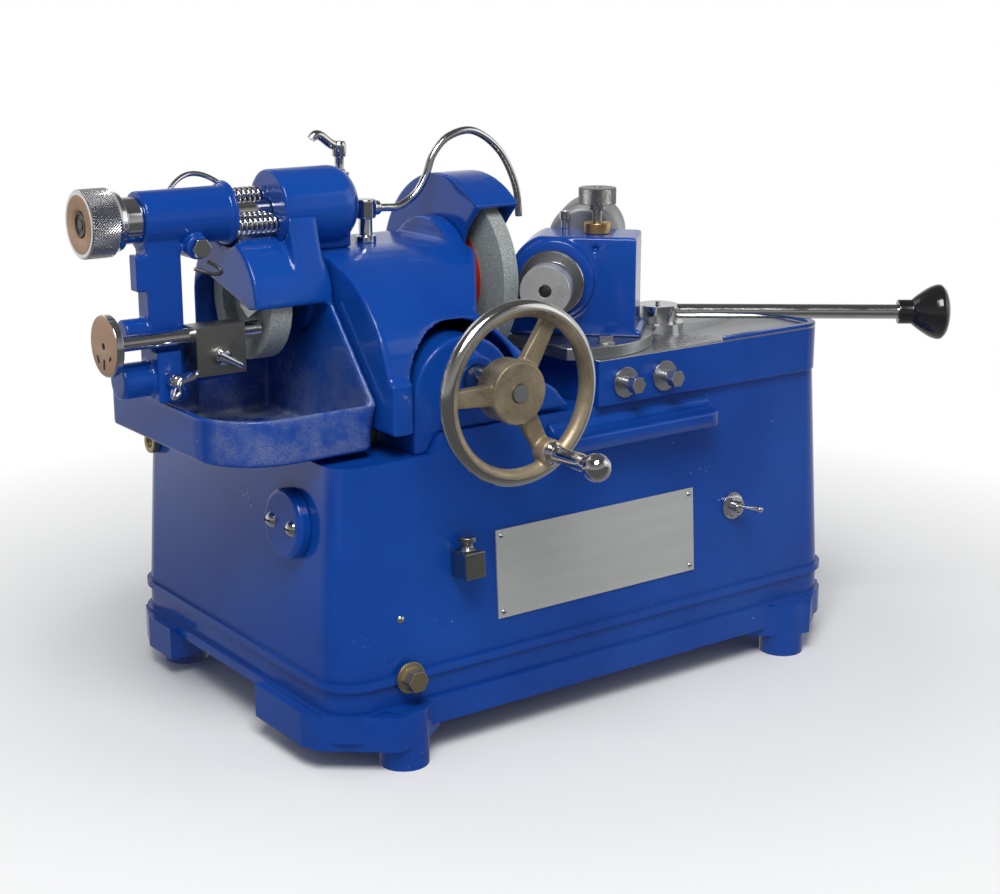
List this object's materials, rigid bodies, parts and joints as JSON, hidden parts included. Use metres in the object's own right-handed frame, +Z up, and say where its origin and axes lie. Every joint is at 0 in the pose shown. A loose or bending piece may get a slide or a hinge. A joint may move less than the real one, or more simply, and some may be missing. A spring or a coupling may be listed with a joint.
{
  "type": "valve refacing grinder",
  "caption": "Bench grinder for engine valves: wide wheel and cup wheel on a cross-fed head, sliding table with swivelling chuck head, stem end attachment, cast base.",
  "frame": {"origin": "on the bench plane under the middle of the base", "axes": "+X along the machine towards the lever's side, +Y to its back, +Z up"},
  "size_m": [0.8538, 0.5721, 0.5605],
  "materials": {
    "blue_paint": "gloss",
    "machined": "satin",
    "bright": "polished",
    "cast_grey": "matt",
    "bronze_grey": "satin",
    "brass": "satin",
    "silver_plate": "satin",
    "abrasive": "rough",
    "black_plastic": "gloss",
    "black_rubber": "matt",
    "motor_paint": "satin",
    "dark_steel": "satin"
  },
  "bodies": {
    "base": {"base_casting": "blue_paint", "end_cover": "blue_paint", "panel_screws": "bright", "wall_plug": "bright", "drain_plug": "brass", "nameplate": "silver_plate", "switch_body": "bright", "oiler_block": "bright", "slide_bed": "machined", "feed_bracket": "blue_paint", "drip_lip": "blue_paint", "table_ways": "machined", "coolant_pump": "cast_grey", "cable_gland": "black_plastic"},
    "wheelhead": {"saddle": "machined", "spindle_housing": "blue_paint", "spindle_bearings": "machined", "wheelhead_cover": "blue_paint", "main_guard": "blue_paint", "left_guard": "blue_paint", "attachment_boss": "blue_paint", "guide_rods": "bright", "return_springs": "bright", "feed_nut": "brass", "drive_motor": "motor_paint", "drive_belt": "black_rubber", "coolant_valve": "bright", "coolant_post": "bright"},
    "handwheel": {"handwheel": "bronze_grey", "feed_screw": "machined", "crank_handle": "bright"},
    "spindle": {"spindle": "machined", "grinding_wheel": "abrasive", "wheel_clamps": "machined", "cup_wheel": "abrasive", "spindle_pulley": "cast_grey"},
    "motor_shaft": {"motor_pulley": "cast_grey"},
    "table": {"table": "blue_paint", "table_bolts": "bright", "swivel_plate": "machined"},
    "lever": {"feed_lever": "bright", "lever_knob": "black_plastic", "lever_pinion": "machined"},
    "workhead": {"workhead_housing": "blue_paint", "brass_bush": "brass", "oil_cup": "bright", "chuck_motor": "silver_plate"},
    "chuck": {"chuck_spindle": "machined", "chuck_collet": "machined"},
    "clamp_knob": {"clamp_knob": "dark_steel"},
    "arm": {"butt_arm": "blue_paint", "arm_bolt": "bright", "v_block": "bright"},
    "micrometer": {"micrometer_knob": "bright"},
    "stop_rod": {"stop_rod": "bright"},
    "thumbscrew": {"thumbscrew": "bright"},
    "wing_screw": {"wing_screw": "bright"},
    "toggle": {"toggle_lever": "bright"},
    "valve_handle": {"valve_handle": "bright"},
    "gooseneck": {"gooseneck": "bright"}
  },
  "joints": [
    {"name": "head_feed", "type": "slide", "parent": "base", "child": "wheelhead", "axis": [0, 1, 0], "range_m": [-0.002, 0.04]},
    {"name": "handwheel_turn", "type": "hinge", "parent": "base", "child": "handwheel", "pos_m": [-0.16, -0.269, 0.35], "axis": [0, 1, 0], "range_deg": [-145, 2881]},
    {"name": "spindle_spin", "type": "hinge", "parent": "wheelhead", "child": "spindle", "pos_m": [-0.15, -0.0385, 0.415], "axis": [1, 0, 0], "continuous": true},
    {"name": "motor_spin", "type": "hinge", "parent": "wheelhead", "child": "motor_shaft", "pos_m": [-0.12, -0.0385, 0.19], "axis": [1, 0, 0], "continuous": true},
    {"name": "table_slide", "type": "slide", "parent": "base", "child": "table", "axis": [1, 0, 0], "range_m": [-0.003, 0.025]},
    {"name": "lever_turn", "type": "hinge", "parent": "table", "child": "lever", "pos_m": [0.142, -0.105, 0.3474], "axis": [0, 0, 1], "range_deg": [-6, 48]},
    {"name": "workhead_swivel", "type": "hinge", "parent": "table", "child": "workhead", "pos_m": [0.016, -0.097, 0.3594], "axis": [0, 0, 1], "range_deg": [0, 15]},
    {"name": "chuck_spin", "type": "hinge", "parent": "workhead", "child": "chuck", "pos_m": [0.016, -0.097, 0.415], "axis": [0.7071, 0.7071, 0], "continuous": true},
    {"name": "clamp_turn", "type": "hinge", "parent": "workhead", "child": "clamp_knob", "pos_m": [0.04421, -0.12309, 0.457], "axis": [0, 0, 1], "range_deg": [0, 360]},
    {"name": "arm_slide", "type": "slide", "parent": "wheelhead", "child": "arm", "axis": [1, 0, 0], "range_m": [-0.012, 0.002], "deforming": ["return_springs"]},
    {"name": "micrometer_turn", "type": "hinge", "parent": "arm", "child": "micrometer", "pos_m": [-0.43, -0.044, 0.497], "axis": [1, 0, 0], "range_deg": [-2881, 481]},
    {"name": "stop_slide", "type": "slide", "parent": "arm", "child": "stop_rod", "axis": [1, 0, 0], "range_m": [-0.02, 0]},
    {"name": "thumb_turn", "type": "hinge", "parent": "arm", "child": "thumbscrew", "pos_m": [-0.354, -0.088, 0.377], "axis": [0, 1, 0], "range_deg": [-180, 180]},
    {"name": "wing_turn", "type": "hinge", "parent": "arm", "child": "wing_screw", "pos_m": [-0.3975, -0.075, 0.359], "axis": [0, 1, 0], "range_deg": [-180, 180]},
    {"name": "toggle_flip", "type": "hinge", "parent": "base", "child": "toggle", "pos_m": [0.168, -0.20585, 0.17349], "axis": [0, 0.0599, 0.9982], "range_deg": [-36, 0]},
    {"name": "valve_turn", "type": "hinge", "parent": "wheelhead", "child": "valve_handle", "pos_m": [-0.174, 0.002, 0.52], "axis": [0, 0, 1], "range_deg": [-90, 0]},
    {"name": "neck_swivel", "type": "hinge", "parent": "wheelhead", "child": "gooseneck", "pos_m": [-0.172, -0.04, 0.489], "axis": [0, 0, 1], "range_deg": [-45, 45]}
  ],
  "couplings": [
    {"joint": "handwheel_turn", "follows": "head_feed", "rad_per_m": 1256.6},
    {"joint": "motor_spin", "follows": "spindle_spin", "ratio": 1},
    {"joint": "lever_turn", "follows": "table_slide", "rad_per_m": 33.333},
    {"joint": "micrometer_turn", "follows": "arm_slide", "rad_per_m": 4188.8}
  ]
}
